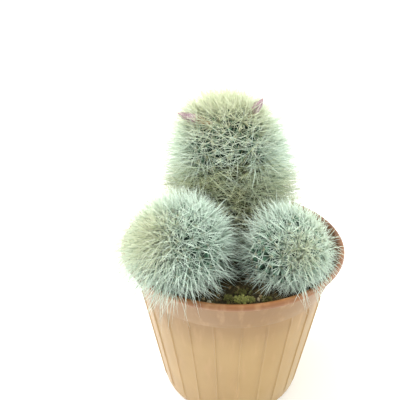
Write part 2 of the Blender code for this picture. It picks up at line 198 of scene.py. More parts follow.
class Graph:
    """A node tree being written, for a material or for geometry."""

    def __init__(self, tree):
        self.tree = tree

    def node(self, kind, settings=None, inputs=None, output=0):
        """Add a node: its settings first, then the values or links of its sockets."""
        node = self.tree.nodes.new(kind)
        for name, value in (settings or {}).items():
            if name == "stops":
                self.set_stops(node.color_ramp, value)
            else:
                setattr(node, name, value)
        for key, value in (inputs or {}).items():
            socket = node.inputs[key]
            if isinstance(value, Wire):
                self.tree.links.new(value.socket, socket)
            else:
                socket.default_value = value
        outputs = [socket for socket in node.outputs if socket.enabled]
        if not outputs:
            return None
        return Wire(self, node.outputs[output] if isinstance(output, str) else outputs[output])

    @staticmethod
    def set_stops(ramp, stops):
        while len(ramp.elements) < len(stops):
            ramp.elements.new(1.0)
        for element, (place, color) in zip(ramp.elements, stops):
            element.position = place
            element.color = color

    def attribute(self, name, output="Fac"):
        return self.node("ShaderNodeAttribute", {"attribute_name": name}, output=output)

    def place(self):
        """Where a point of the surface is, in the piece's own coordinates."""
        return self.node("ShaderNodeTexCoord", output="Object")

    def noise(self, place, size, detail=3.0, roughness=0.5):
        """Soft cloudy noise from 0 to 1, whose patches are about this size."""
        return self.node("ShaderNodeTexNoise", inputs={
            "Vector": place, "Scale": 1 / size, "Detail": detail, "Roughness": roughness})

    def blend(self, factor, first, second):
        """A colour between two colours."""
        return self.node("ShaderNodeMix", {"data_type": "RGBA"}, {0: factor, 6: first, 7: second}, output=0)

    def ramp(self, factor, stops):
        return self.node("ShaderNodeValToRGB", {"stops": stops}, {"Fac": factor})

    def bump(self, height, distance, strength=1.0):
        return self.node("ShaderNodeBump", inputs={"Height": height, "Distance": distance, "Strength": strength})


def finish(name, paint, **constants):
    """A material. paint takes the graph and returns what changes over the surface, by socket name."""
    material = bpy.data.materials.new(name)
    material.use_nodes = True
    shader = material.node_tree.nodes["Principled BSDF"]
    for socket, value in constants.items():
        shader.inputs[socket.replace("_", " ")].default_value = value
    graph = Graph(material.node_tree)
    for socket, value in paint(graph).items():
        material.node_tree.links.new(value.socket, shader.inputs[socket])
    return material


def paint_plastic(graph):
    """Moulded plastic: slightly cloudy, with faint flow streaks, fine tooth, painted shade under the lip on the
    collar and upper wall, and paler, greyer patches by the foot.
    """
    place = graph.place()
    cloud = graph.noise(place, 22 * MM, 4.0)
    streak = graph.noise(place * (1.0, 1.0, 0.12), 3 * MM, 3.0)
    grain = graph.noise(place, 0.35 * MM, 2.0)
    height = graph.node("ShaderNodeSeparateXYZ", inputs={0: place}, output="Z")
    wall = graph.blend(cloud.between(0.35, 0.65), tone(164, 131, 78), tone(172, 140, 87))
    # The collar tone is a darker, browner copy of the wall tone: painted shade under the lip, blended in from 34
    # mm up to 60 mm.
    collar = graph.blend(cloud.between(0.35, 0.65), tone(134, 97, 50), tone(144, 107, 58))
    lip = graph.blend(cloud.between(0.35, 0.65), tone(134, 84, 40), tone(144, 94, 47))
    body = graph.blend(height.between(34 * MM, 60 * MM), wall, collar)
    body = graph.blend(height.between(61 * MM, 64 * MM), body, lip)
    body = graph.blend(streak.between(0.5, 0.75, 0.0, 0.3), body, tone(190, 150, 104))
    # Paler, greyer patches within 14 mm of the bottom.
    paler_foot = height.between(0.0, 14 * MM, 0.35, 0.0) * cloud.between(0.4, 0.7)
    body = graph.blend(paler_foot, body, tone(176, 156, 122))
    return {
        "Base Color": body,
        "Roughness": 0.36 + 0.14 * cloud + 0.08 * grain,
        "Normal": graph.bump(grain + 0.6 * streak, 0.03 * MM, 0.5),
    }


def paint_soil(graph):
    place = graph.place()
    clump = graph.noise(place, 4 * MM, 5.0, 0.6)
    fine = graph.noise(place, 0.6 * MM, 4.0, 0.65)
    color = graph.ramp(clump * 0.6 + fine * 0.4, [
        (0.32, tone(26, 22, 15)), (0.5, tone(58, 50, 32)), (0.62, tone(98, 86, 54)), (0.75, tone(140, 122, 82))])
    return {
        "Base Color": color,
        "Roughness": fine.between(0.3, 0.7, 0.98, 0.82),
        "Normal": graph.bump(fine + clump * 0.5, 0.35 * MM, 0.9),
    }


def paint_grit(graph):
    """Crumbs of peat and bark, a few ochre and grey grains, and now and then a white one."""
    place = graph.place()
    tint = graph.attribute("tint")
    fine = graph.noise(place, 0.4 * MM, 4.0, 0.6)
    color = graph.ramp(tint, [
        (0.0, tone(30, 26, 16)), (0.4, tone(66, 58, 34)), (0.68, tone(104, 88, 54)), (0.86, tone(140, 120, 80)),
        (0.96, tone(170, 160, 130)), (0.995, tone(226, 222, 208))])
    color = graph.blend(fine.between(0.3, 0.7, 0.0, 0.45), color, tone(58, 46, 32))
    return {
        "Base Color": color,
        "Roughness": fine.between(0.2, 0.8, 0.95, 0.75),
        "Normal": graph.bump(fine, 0.15 * MM, 0.8),
    }


def paint_flesh(graph):
    """Blue-green skin with painted shade in the grooves between the tubercles, speckled, and corky olive-brown
    where it is old.
    """
    place = graph.place()
    rise = graph.attribute("rise")
    age = graph.attribute("age")
    speck = graph.noise(place, 0.3 * MM, 2.0)
    cloud = graph.noise(place, 5 * MM, 4.0)
    # Darker where the tubercles fall away: painted shade in the grooves, in the young skin and the old.
    young = graph.blend(rise.between(0.1, 0.85), tone(20, 44, 32), tone(84, 130, 102))
    young = graph.blend(speck.between(0.58, 0.7, 0.0, 0.5), young, tone(158, 186, 160))
    old = graph.blend(rise.between(0.1, 0.9), tone(38, 40, 24), tone(108, 112, 68))
    old = graph.blend(cloud.between(0.4, 0.65, 0.0, 0.7), old, tone(84, 76, 46))
    color = graph.blend((age + 0.5 * cloud - 0.25).between(0.3, 0.75), young, old)
    return {
        "Base Color": color,
        "Roughness": 0.48 + 0.2 * cloud + 0.2 * age,
        "Normal": graph.bump(speck + cloud, 0.08 * MM, 0.6),
    }


def paint_spines(graph):
    """Glassy white needles with painted shade towards their roots, cream where they are young, painted light on
    the lit sides of the stems, olive-tan where they are old.
    """
    place = graph.place()
    along = graph.attribute("along")
    tint = graph.attribute("tint")
    season = graph.attribute("season")
    fleck = graph.noise(place, 1.2 * MM, 2.0)
    # The season value holds the youth of the crown together with painted light on the lit sides and flanks, so
    # needles there are creamier and less often dim.
    color = graph.blend(season.between(0.0, 1.0), tone(236, 252, 238), tone(228, 233, 198))
    dim = tint.between(0.45, 0.0, 0.0, 0.6) * season.between(0.0, 0.5, 1.0, 0.1)
    color = graph.blend(dim, color, tone(128, 170, 150))
    cloud = graph.noise(place, 7 * MM, 2.0)
    old = graph.blend(tint, tone(132, 148, 110), tone(226, 234, 200))
    old = graph.blend(cloud.between(0.45, 0.6, 0.0, 0.5), old, tone(194, 194, 120))
    old = graph.blend(season.between(-0.72, -1.0), old, graph.blend(tint, tone(94, 92, 68), tone(206, 204, 178)))
    old = graph.blend(along.between(0.5, 1.0, 0.0, 0.6), old, tone(226, 222, 172))
    color = graph.blend(season.between(0.0, -0.7), color, old)
    # Darker towards the root of each needle: painted shade among the crowded needles; paler on the crown and lit
    # sides, more olive where old.
    root_shade = graph.blend(tint, tone(56, 88, 70), tone(114, 148, 124))
    root_shade = graph.blend(season.between(0.0, 1.0), root_shade, tone(222, 228, 194))
    root_shade = graph.blend(season.between(0.0, -1.0), root_shade, tone(84, 94, 56))
    color = graph.blend(along.between(0.0, 0.42, 0.75, 0.0), color, root_shade)
    tips = along.between(0.75, 1.0) * tint.between(0.7, 1.0)
    color = graph.blend(tips * 0.3, color, tone(212, 184, 136))
    color = graph.blend(fleck.between(0.5, 0.7, 0.0, 0.25), color, tone(202, 226, 210))
    return {
        "Base Color": color,
        "Roughness": 0.34 + 0.2 * fleck,
    }


def paint_wool(graph):
    place = graph.place()
    along = graph.attribute("along")
    fluff = graph.noise(place, 0.8 * MM, 3.0)
    color = graph.blend(along, tone(216, 214, 172), tone(238, 239, 216))
    color = graph.blend(fluff.between(0.4, 0.7, 0.0, 0.4), color, tone(226, 226, 204))
    return {"Base Color": color, "Roughness": 0.85 + 0.1 * fluff}


def paint_moss(graph):
    place = graph.place()
    along = graph.attribute("along")
    tint = graph.attribute("tint")
    patch = graph.noise(place, 2 * MM, 3.0)
    fresh = graph.blend(along, tone(84, 88, 40), tone(186, 190, 108))
    fresh = graph.blend(tint.between(0.6, 1.0, 0.0, 0.6), fresh, tone(214, 210, 140))
    dull = graph.blend(along, tone(40, 40, 18), tone(110, 112, 58))
    dull = graph.blend(tint.between(0.7, 1.0, 0.0, 0.6), dull, tone(132, 108, 60))
    color = graph.blend(graph.attribute("season"), dull, fresh)
    color = graph.blend(patch.between(0.5, 0.75, 0.0, 0.4), color, tone(92, 94, 36))
    return {"Base Color": color, "Roughness": 0.6 + 0.25 * patch}


def paint_petals(graph):
    """Wilted petals: mauve with dark veins along them, paler edges, straw-white towards the root."""
    along = graph.attribute("along")
    across = graph.attribute("across")
    place = graph.place()
    crease = graph.noise(place, 0.5 * MM, 3.0)
    vein = (across * 5.0 + crease * 0.5).math("FRACT")
    vein = (vein - 0.5).math("ABSOLUTE").between(0.0, 0.22, 1.0, 0.0)
    petal = graph.blend(crease.between(0.4, 0.6), tone(212, 172, 190), tone(246, 232, 234))
    petal = graph.blend(vein * 0.7, petal, tone(140, 84, 108))
    petal = graph.blend(along.between(0.86, 1.0), petal, tone(176, 104, 128))
    root = graph.blend(crease.between(0.4, 0.7), tone(206, 178, 136), tone(168, 132, 92))
    color = graph.blend(along.between(0.22, 0.55), root, petal)
    return {
        "Base Color": color,
        "Roughness": 0.55 + 0.3 * crease,
        "Normal": graph.bump(crease + vein * 0.4, 0.12 * MM, 0.8),
    }


def paint_floor(graph):
    place = graph.place()
    cloud = graph.noise(place, 0.4, 2.0)
    return {
        "Base Color": graph.blend(cloud, tone(250, 250, 249), tone(253, 253, 252)),
        "Roughness": 0.75 + 0.1 * cloud,
    }


def new_tree(name, inputs):
    """A geometry node tree with a geometry input and the named inputs, as its graph and its input wires."""
    tree = bpy.data.node_groups.new(name, "GeometryNodeTree")
    tree.interface.new_socket("Geometry", in_out="INPUT", socket_type="NodeSocketGeometry")
    for label, kind in inputs.items():
        tree.interface.new_socket(label, in_out="INPUT", socket_type=f"NodeSocket{kind}")
    tree.interface.new_socket("Geometry", in_out="OUTPUT", socket_type="NodeSocketGeometry")
    graph = Graph(tree)
    group = tree.nodes.new("NodeGroupInput")
    wires = {socket.name: Wire(graph, socket) for socket in group.outputs if socket.name}
    return graph, wires


def close_tree(graph, shape, material):
    """The end of every tree: instances made real, and the material set."""
    shape = graph.node("GeometryNodeRealizeInstances", inputs={"Geometry": shape})
    shape = graph.node("GeometryNodeSetMaterial", inputs={"Geometry": shape, "Material": material})
    graph.node("NodeGroupOutput", inputs={"Geometry": shape})
    return graph.tree


def named(graph, name, kind="FLOAT"):
    """A named attribute, as a field."""
    return graph.node("GeometryNodeInputNamedAttribute", {"data_type": kind}, {"Name": name})


def store(graph, shape, name, value):
    """Keep a number at each point, for the material to read."""
    return graph.node("GeometryNodeStoreNamedAttribute", {"data_type": "FLOAT", "domain": "POINT"},
                      {"Geometry": shape, "Name": name, "Value": value})


def needle_tree():
    """A slim, slightly bent needle on every point, which says its own direction, length, width and bend."""
    graph, wires = new_tree("needles", {"Sides": "Int", "Segments": "Int", "Fullness": "Float",
                                        "Material": "Material"})
    needle = graph.node("GeometryNodeMeshCone", {"fill_type": "NGON"}, {
        "Vertices": wires["Sides"], "Side Segments": wires["Segments"], "Radius Top": 0.0, "Radius Bottom": 1.0,
        "Depth": 1.0})
    place = graph.node("GeometryNodeInputPosition")
    along = graph.node("ShaderNodeSeparateXYZ", inputs={0: place}, output="Z")
    needle = store(graph, needle, "along", along)
    swell = 1.0 + wires["Fullness"] * named(graph, "along")
    fuller = place * graph.node("ShaderNodeCombineXYZ", inputs={"X": swell, "Y": swell, "Z": 1.0})
    needle = graph.node("GeometryNodeSetPosition", inputs={"Geometry": needle, "Position": fuller})
    turned = graph.node("FunctionNodeAlignRotationToVector", {"axis": "Z"},
                        {"Vector": named(graph, "toward", "FLOAT_VECTOR")})
    width = named(graph, "width")
    size = graph.node("ShaderNodeCombineXYZ", inputs={"X": width, "Y": width, "Z": named(graph, "reach")})
    shape = graph.node("GeometryNodeInstanceOnPoints", inputs={
        "Points": wires["Geometry"], "Instance": needle, "Rotation": turned, "Scale": size})
    shape = graph.node("GeometryNodeRealizeInstances", inputs={"Geometry": shape})
    curve = named(graph, "bend", "FLOAT_VECTOR") * (named(graph, "along") ** 2.0)
    shape = graph.node("GeometryNodeSetPosition", inputs={"Geometry": shape, "Offset": curve})
    shape = graph.node("GeometryNodeSetShadeSmooth", inputs={"Geometry": shape, "Shade Smooth": True})
    return close_tree(graph, shape, wires["Material"])


def tubercle_tree():
    """Raise a smooth body into a rounded tubercle around each areole."""
    graph, wires = new_tree("tubercles", {"Areoles": "Object", "Radius": "Float", "Height": "Float",
                                          "Material": "Material"})
    areoles = graph.node("GeometryNodeObjectInfo", {"transform_space": "RELATIVE"}, {"Object": wires["Areoles"]},
                         output="Geometry")
    away = graph.node("GeometryNodeProximity", {"target_element": "POINTS"}, {"Target": areoles},
                      output="Distance")
    rise = (away / wires["Radius"]).between(0.0, 1.0, 1.0, 0.0)
    shape = store(graph, wires["Geometry"], "rise", rise)
    normal = graph.node("GeometryNodeInputNormal")
    offset = normal * ((named(graph, "rise") - 1.0) * wires["Height"])
    shape = graph.node("GeometryNodeSetPosition", inputs={"Geometry": shape, "Offset": offset})
    return close_tree(graph, shape, wires["Material"])


def rib_tree():
    """Draw the turns of a wall closer at each rib, and push them out there."""
    graph, wires = new_tree("ribs", {"Count": "Float", "Phase": "Float", "Crowding": "Float", "Width": "Float", "Height": "Float",
                                     "Foot": "Float", "Top": "Float", "Fade": "Float", "Inner Radius": "Float",
                                     "Material": "Material"})
    place = graph.node("GeometryNodeInputPosition")
    x = graph.node("ShaderNodeSeparateXYZ", inputs={0: place}, output="X")
    y, z = x.other("Y"), x.other("Z")
    radius = (x * x + y * y).math("SQRT")
    angle = y.math("ARCTAN2", x)
    angle = angle - wires["Crowding"] * (angle * wires["Count"]).math("SINE") / wires["Count"]
    part = (angle * wires["Count"] / TAU + 0.5).math("FLOORED_MODULO", 1.0) - 0.5
    sideways = part.math("ABSOLUTE") * TAU / wires["Count"] * radius
    crest = (sideways / (wires["Width"] * 0.5)).between(0.15, 1.0, 1.0, 0.0)
    on_wall = z.between(wires["Foot"], wires["Foot"] + wires["Fade"]) * z.between(
        wires["Top"], wires["Top"] + wires["Fade"], 1.0, 0.0)
    outside = named(graph, "outside")
    radius = radius + crest * on_wall * outside * wires["Height"]
    moved = graph.node("ShaderNodeCombineXYZ", inputs={
        "X": radius * (angle + wires["Phase"]).math("COSINE"), "Y": radius * (angle + wires["Phase"]).math("SINE"),
        "Z": z})
    shape = graph.node("GeometryNodeSetPosition", inputs={"Geometry": wires["Geometry"], "Position": moved})
    return close_tree(graph, shape, wires["Material"])


def grit_tree():
    """Broken grains strewn over the upward faces."""
    graph, wires = new_tree("grit", {"Density": "Float", "Least": "Float", "Most": "Float", "Roughness": "Float",
                                     "Seed": "Int", "Material": "Material"})
    normal = graph.node("GeometryNodeInputNormal")
    upward = graph.node("ShaderNodeSeparateXYZ", inputs={0: normal}, output="Z").math("GREATER_THAN", 0.3)
    density = upward * wires["Density"]
    points = graph.node("GeometryNodeDistributePointsOnFaces", {"distribute_method": "RANDOM"}, {
        "Mesh": wires["Geometry"], "Density": density, "Seed": wires["Seed"]})
    points = store(graph, points, "tint", graph.node("FunctionNodeRandomValue", {"data_type": "FLOAT"}, {
        "Min": 0.0, "Max": 1.0, "Seed": wires["Seed"]}, output=0))
    grain = graph.node("GeometryNodeMeshIcoSphere", inputs={"Radius": 1.0, "Subdivisions": 2})
    place = graph.node("GeometryNodeInputPosition")
    lump = graph.node("ShaderNodeTexNoise", inputs={"Vector": place, "Scale": 1.1, "Detail": 2.0})
    grain = graph.node("GeometryNodeSetPosition", inputs={
        "Geometry": grain, "Offset": place * ((lump - 0.5) * wires["Roughness"])})
    size = graph.node("FunctionNodeRandomValue", {"data_type": "FLOAT"}, {
        "Min": 0.0, "Max": 1.0, "Seed": wires["Seed"]}, output=0)
    size = wires["Least"] + size ** 3.0 * (wires["Most"] - wires["Least"])
    stretch = graph.node("FunctionNodeRandomValue", {"data_type": "FLOAT_VECTOR"}, {
        0: (0.55, 0.55, 0.5), 1: (1.2, 1.2, 1.0), "Seed": wires["Seed"]}, output=0)
    turn = graph.node("FunctionNodeRandomValue", {"data_type": "FLOAT_VECTOR"}, {
        0: (0.0, 0.0, 0.0), 1: (TAU, TAU, TAU), "Seed": wires["Seed"]}, output=0)
    shape = graph.node("GeometryNodeInstanceOnPoints", inputs={
        "Points": points, "Instance": grain, "Rotation": turn, "Scale": stretch * size})
    return close_tree(graph, shape, wires["Material"])


def link(name, mesh):
    obj = bpy.data.objects.new(name, mesh)
    bpy.context.scene.collection.objects.link(obj)
    return obj


def grown(name, mesh, tree, **inputs):
    """A piece whose plain mesh is what a node tree makes of a base mesh."""
    piece = link(name, mesh)
    modifier = piece.modifiers.new("Grow", "NODES")
    modifier.node_group = tree
    for item in tree.interface.items_tree:
        key = item.name.replace(" ", "_").lower()
        if item.in_out == "INPUT" and key in inputs:
            modifier[item.identifier] = inputs[key]
    graph = bpy.context.evaluated_depsgraph_get()
    result = bpy.data.meshes.new_from_object(piece.evaluated_get(graph), preserve_all_data_layers=True,
                                             depsgraph=graph)
    piece.modifiers.clear()
    piece.data = result
    result.name = name
    bpy.data.meshes.remove(mesh)
    return piece


def dress(piece, slot, *nodes):
    """Fasten a finished piece to the part's one body, and hide the part's nodes that it stands for."""
    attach(piece, "root")
    if nodes:
        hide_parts(*nodes)
    return piece


def set_floats(mesh, name, values, kind="FLOAT"):
    """Keep a number, or a vector, at each vertex."""
    attribute = mesh.attributes.new(name, kind, "POINT")
    key = "vector" if kind == "FLOAT_VECTOR" else "value"
    attribute.data.foreach_set(key, np.asarray(values, dtype=np.float32).ravel())


def turned_mesh(name, profile, steps):
    """A closed shape of revolution. The profile of (radius, height) runs from the axis to the axis,
    anticlockwise as seen with the axis on the left, so that the faces point outwards."""
    profile = np.array(profile)
    inner = profile[1:-1]
    angles = np.arange(steps) * TAU / steps
    rings = np.stack((inner[:, None, 0] * np.cos(angles), inner[:, None, 0] * np.sin(angles),
                      np.repeat(inner[:, 1:], steps, axis=1)), axis=2)
    points = np.vstack(((0.0, 0.0, profile[0, 1]), rings.reshape(-1, 3), (0.0, 0.0, profile[-1, 1])))
    last = len(points) - 1
    faces = []
    for i in range(steps):
        j = (i + 1) % steps
        faces.append((0, 1 + i, 1 + j))
        for k in range(len(inner) - 1):
            low, high = 1 + k * steps, 1 + (k + 1) * steps
            faces.append((low + i, high + i, high + j, low + j))
        end = 1 + (len(inner) - 1) * steps
        faces.append((end + j, end + i, last))
    mesh = bpy.data.meshes.new(name)
    mesh.from_pydata(points.tolist(), [], faces)
    bm = bmesh.new()
    bm.from_mesh(mesh)
    bmesh.ops.recalc_face_normals(bm, faces=bm.faces)
    bm.to_mesh(mesh)
    bm.free()
    return mesh


def arc(center, radius, start, end, count):
    """Points of (radius, height) on an arc, from one angle to another, in degrees."""
    angles = [math.radians(start + (end - start) * i / count) for i in range(count + 1)]
    return [(center[0] + radius * math.cos(a), center[1] + radius * math.sin(a)) for a in angles]


def refined(profile, longest):
    """The profile with its long straight runs divided."""
    points = [profile[0]]
    for (r0, z0), (r1, z1) in zip(profile, profile[1:]):
        count = max(1, math.ceil(math.hypot(r1 - r0, z1 - z0) / longest))
        points += [(r0 + (r1 - r0) * k / count, z0 + (z1 - z0) * k / count) for k in range(1, count + 1)]
    return points


def body_radius(height):
    """The radius of the pot's outer wall between its foot and its collar."""
    share = (height - FOOT_ROUNDING) / (COLLAR_FOOT - FOOT_ROUNDING)
    return FOOT_RADIUS + (BODY_TOP_RADIUS - FOOT_RADIUS) * share


def inner_radius(height):
    """The radius of the pot's inner wall at a height."""
    if height < COLLAR_FOOT:
        return body_radius(height) - WALL
    share = (height - COLLAR_FOOT) / COLLAR_HEIGHT
    return BODY_TOP_RADIUS - WALL + (COLLAR_TOP_RADIUS - BODY_TOP_RADIUS) * share


def soil_height(x, y):
    """The soil's surface, as in the solids: a little higher at the front, and uneven."""
    away = (Vector((x, y)) - SOIL_RISE_PLACE).length
    rise = math.exp(-(away / SOIL_RISE_WIDTH) ** 2)
    return SOIL_LEVEL + SOIL_RISE * rise + SOIL_RELIEF * noise.noise(Vector((x, y, 0)) / SOIL_GRAIN)


def pot_profile():
    """The pot's section from its inner floor, up and over the lip, and down the outer side."""
    lip = LIP_HEIGHT / 2
    inner_corner = WALL + FOOT_ROUNDING
    inner_center = (inner_radius(inner_corner) - FOOT_ROUNDING, inner_corner)
    under_lip = POT_HEIGHT - LIP_HEIGHT
    outer = [
        *arc((RIM_RADIUS - lip, POT_HEIGHT - lip), lip, 90, -82, 10),
        (COLLAR_TOP_RADIUS + EDGE_ROUNDING, under_lip),
        (COLLAR_TOP_RADIUS, under_lip - EDGE_ROUNDING),
        *refined([(COLLAR_TOP_RADIUS - 0.1 * MM, under_lip - 2 * EDGE_ROUNDING),
                  (COLLAR_FOOT_RADIUS + 0.1 * MM, COLLAR_FOOT + EDGE_ROUNDING)], 2.5 * MM),
        (COLLAR_FOOT_RADIUS - 0.1 * MM, COLLAR_FOOT),
        (BODY_TOP_RADIUS + 0.05 * MM, COLLAR_FOOT - COLLAR_STEP),
        *refined([(BODY_TOP_RADIUS - 0.1 * MM, COLLAR_FOOT - 2 * COLLAR_STEP),
                  (body_radius(FOOT_ROUNDING + 1 * MM), FOOT_ROUNDING + 1 * MM)], 2.5 * MM),
        *arc((FOOT_RADIUS - FOOT_ROUNDING, FOOT_ROUNDING), FOOT_ROUNDING, 0, -90, 6),
    ]
    inner = [
        (0.0, WALL),
        *refined([(DRAIN_CIRCLE / 2, WALL), (inner_center[0], WALL)], 3 * MM),
        *arc(inner_center, FOOT_ROUNDING, -75, 0, 5),
        *refined([(inner_radius(COLLAR_FOOT * 0.2), COLLAR_FOOT * 0.2), (inner_radius(COLLAR_FOOT), COLLAR_FOOT),
                  (inner_radius(under_lip), under_lip)], 4 * MM),
        *arc((RIM_RADIUS - LIP_WIDTH + lip, POT_HEIGHT - lip), lip, 180, 108, 4),
    ]
    below = [(DRAIN_CIRCLE + 2 * DRAIN_RADIUS, 0.0), (DRAIN_CIRCLE - 2 * DRAIN_RADIUS, 0.0), (0.0, 0.0)]
    return inner, outer + below


def build_pot(tree):
    inner, outer = pot_profile()
    steps = RIB_COUNT * STEPS_PER_RIB
    mesh = turned_mesh("pot_moulding", inner + outer, steps)
    outside = np.zeros(len(mesh.vertices))
    outside[1 + (len(inner) - 1) * steps:] = 1.0
    set_floats(mesh, "outside", outside)
    base = link("pot_base", mesh)
    drains = bpy.data.collections.new("drains")
    bpy.context.scene.collection.children.link(drains)
    for k in range(DRAIN_COUNT):
        bm = bmesh.new()
        bmesh.ops.create_cone(bm, cap_ends=True, segments=28, radius1=DRAIN_RADIUS, radius2=DRAIN_RADIUS,
                              depth=6 * WALL)
        angle = TAU * (k + 0.5) / DRAIN_COUNT
        bmesh.ops.translate(bm, verts=bm.verts,
                            vec=(DRAIN_CIRCLE * math.cos(angle), DRAIN_CIRCLE * math.sin(angle), 0))
        hole = bpy.data.meshes.new("drain")
        bm.to_mesh(hole)
        bm.free()
        drains.objects.link(bpy.data.objects.new("drain", hole))
    cut = base.modifiers.new("Drain", "BOOLEAN")
    cut.operand_type = "COLLECTION"
    cut.collection = drains
    cut.solver = "EXACT"
    graph = bpy.context.evaluated_depsgraph_get()
    mesh = bpy.data.meshes.new_from_object(base.evaluated_get(graph), preserve_all_data_layers=True,
                                           depsgraph=graph)
    for hole in list(drains.objects):
        bpy.data.objects.remove(hole)
    bpy.data.collections.remove(drains)
    bpy.data.objects.remove(base)
    pot = grown("pot_moulding", mesh, tree, count=float(RIB_COUNT), phase=RIB_PHASE, crowding=RIB_CROWDING, width=RIB_WIDTH,
                height=RIB_HEIGHT, foot=FOOT_ROUNDING, top=COLLAR_FOOT - RIB_FADE - COLLAR_STEP, fade=RIB_FADE,
                material=finish("terracotta plastic", paint_plastic, Specular_IOR_Level=0.5, Coat_Weight=0.4,
                                Coat_Roughness=0.25))
    pot.data.shade_smooth()
    pot.data.set_sharp_from_angle(angle=math.radians(40))
    return dress(pot, "pot_plastic", "pot")


def build_soil(tree):
    """The bed of soil, and the loose grains on it."""
    top = SOIL_LEVEL - SOIL_RELIEF
    edge = inner_radius(top) - SOIL_GAP
    inner_corner = WALL + FOOT_ROUNDING
    rings = [(edge * (k / SOIL_RINGS) ** 0.9, SOIL_LEVEL) for k in range(1, SOIL_RINGS + 1)]
    profile = [
        (0.0, SOIL_LEVEL),
        *rings,
        (edge, top - 1.5 * MM),
        (inner_radius(COLLAR_FOOT) - SOIL_GAP, COLLAR_FOOT),
        (inner_radius(inner_corner) - SOIL_GAP, inner_corner),
        (inner_radius(inner_corner) - FOOT_ROUNDING - SOIL_GAP, WALL + 0.3 * MM),
        (0.0, WALL + 0.3 * MM),
    ]
    mesh = turned_mesh("soil_bed", profile, SOIL_STEPS)
    for vertex in mesh.vertices:
        if vertex.co.z > SOIL_LEVEL - 0.1 * MM:
            x, y = vertex.co.xy
            crumb = noise.fractal(Vector((x, y, 0)) / CRUMB_SIZE, 0.9, 2.1, 4)
            edge_fall = 0.0 if vertex.co.xy.length < edge - 0.2 * MM else 0.3 * MM
            vertex.co.z = soil_height(x, y) + CRUMB_RELIEF * 0.5 * crumb - edge_fall
    bed = link("soil_bed", mesh)
    mesh.materials.append(finish("potting soil", paint_soil, Specular_IOR_Level=0.2))
    mesh.shade_smooth()
    dress(bed, "potting_soil", "soil")

    grit = grown("soil_grit", mesh.copy(), tree, density=float(GRIT_PER_AREA), least=GRIT_LEAST, most=GRIT_MOST,
                 roughness=0.9, seed=11, material=finish("loose grit", paint_grit, Specular_IOR_Level=0.3))
    dress(grit, "potting_soil")


class Stem:
    """One stem of the clump: an outline turned about a leaning axis, with its areoles in a golden spiral."""

    def __init__(self, name, outline, center, lean, areoles):
        self.name = name
        self.radii, self.heights = np.array(outline).T
        self.matrix = np.array(Matrix.Translation(center) @ Vector((0, 0, 1)).rotation_difference(
            Vector(lean)).to_matrix().to_4x4())
        self.center = np.array(center)
        steps = np.hypot(np.diff(self.radii), np.diff(self.heights))
        area = (self.radii[1:] + self.radii[:-1]) * steps
        self.shares = np.concatenate(((0.0,), np.cumsum(area) / area.sum()))
        self.slopes = (np.gradient(self.radii), np.gradient(self.heights))
        index = np.arange(areoles)
        self.share = ((index + 0.5) / areoles) ** CROWN_CROWDING
        self.azimuth = index * GOLDEN_ANGLE
        self.points, self.normals = self.surface(self.share, self.azimuth)

    def surface(self, share, azimuth):
        """Points and outward normals, by the share of the area above the point."""
        radius = np.interp(share, self.shares, self.radii)
        height = np.interp(share, self.shares, self.heights)
        out = -np.interp(share, self.shares, self.slopes[1])
        up = np.interp(share, self.shares, self.slopes[0])
        points = np.stack((radius * np.cos(azimuth), radius * np.sin(azimuth), height), axis=1)
        normals = np.stack((out * np.cos(azimuth), out * np.sin(azimuth), up), axis=1)
        normals /= np.linalg.norm(normals, axis=1, keepdims=True)
        turn = self.matrix[:3, :3]
        return points @ turn.T + self.matrix[:3, 3], normals @ turn.T

    def inside(self, points, margin):
        """Whether points lie in the stem's body, or within a margin of it."""
        own = (points - self.matrix[:3, 3]) @ self.matrix[:3, :3]
        around = np.hypot(own[..., 0], own[..., 1])
        wall = np.interp(own[..., 2], self.heights[::-1], self.radii[::-1], left=-1.0, right=-1.0)
        return around < wall + margin

    def body_mesh(self):
        """A fine smooth body. Its profile is the stem's outline."""
        place = np.linspace(0, 1, BODY_RINGS)
        length = np.concatenate(((0.0,), np.cumsum(np.hypot(np.diff(self.radii), np.diff(self.heights)))))
        radii = np.interp(place, length / length[-1], self.radii)
        heights = np.interp(place, length / length[-1], self.heights)
        mesh = turned_mesh(self.name, list(zip(radii, heights)), BODY_STEPS)
        mesh.transform(Matrix(self.matrix.tolist()))
        return mesh


def smooth_outline(points):
    """A Catmull-Rom curve through a few (radius, height) points."""
    ends = [points[0], *points, points[-1]]
    outline = []
    for i in range(OUTLINE_SAMPLES + 1):
        place = min(i / OUTLINE_SAMPLES * (len(points) - 1), len(points) - 1 - 1e-9)
        k = int(place)
        t = place - k
        a, b, c, d = (Vector(p) for p in ends[k:k + 4])
        curve = 2 * b + (c - a) * t + (2 * a - 5 * b + 4 * c - d) * t ** 2 + (3 * b - a - 3 * c + d) * t ** 3
        outline.append((max(curve.x / 2, 0.0), curve.y / 2))
    return outline


def round_outline(radius, half_height):
    angles = [math.pi * i / OUTLINE_SAMPLES for i in range(OUTLINE_SAMPLES + 1)]
    return [(radius * math.sin(a), half_height * math.cos(a)) for a in angles]


def in_soil(points):
    radius = np.hypot(points[..., 0], points[..., 1])
    away = np.hypot(points[..., 0] - SOIL_RISE_PLACE.x, points[..., 1] - SOIL_RISE_PLACE.y)
    soil = SOIL_LEVEL + SOIL_RISE * np.exp(-(away / SOIL_RISE_WIDTH) ** 2) + SOIL_RELIEF / 2
    return (radius < RIM_RADIUS - RIM_SILL) & (points[..., 2] < soil + SPINE_CLEARANCE)


def in_rim(points):
    radius = np.hypot(points[..., 0], points[..., 1])
    over_wall = (radius > RIM_RADIUS - RIM_SILL) & (radius < RIM_RADIUS + SPINE_CLEARANCE)
    return over_wall & (points[..., 2] < POT_HEIGHT + SPINE_CLEARANCE)


def unit(vectors):
    return vectors / np.linalg.norm(vectors, axis=-1, keepdims=True)


